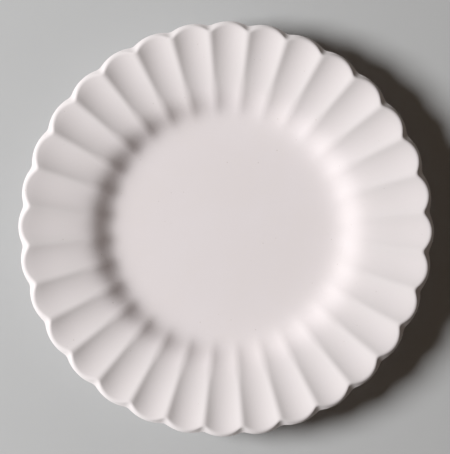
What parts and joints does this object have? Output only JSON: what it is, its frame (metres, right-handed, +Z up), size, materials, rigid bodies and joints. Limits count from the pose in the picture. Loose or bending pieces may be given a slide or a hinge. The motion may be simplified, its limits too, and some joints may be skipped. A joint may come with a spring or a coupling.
{
  "type": "bread and butter plate",
  "caption": "Small round plate in satin warm-white glaze, with a flat well and a broad rim of hollow flutes that end in a scalloped lip, standing on a bare clay foot ring.",
  "frame": {"origin": "centre of the circle that the foot ring stands on", "axes": "+Z up along the plate's axis; a flute's valley lies on +X"},
  "size_m": [0.165, 0.165, 0.0223],
  "materials": {
    "satin_white_glaze": "satin warm-white glaze",
    "fired_clay": "bare fired clay, pale buff"
  },
  "bodies": {
    "root": {"plate_body": "fired_clay", "foot_ring": "fired_clay", "glaze_coat": "satin_white_glaze", "base_glaze": "satin_white_glaze"}
  },
  "joints": []
}
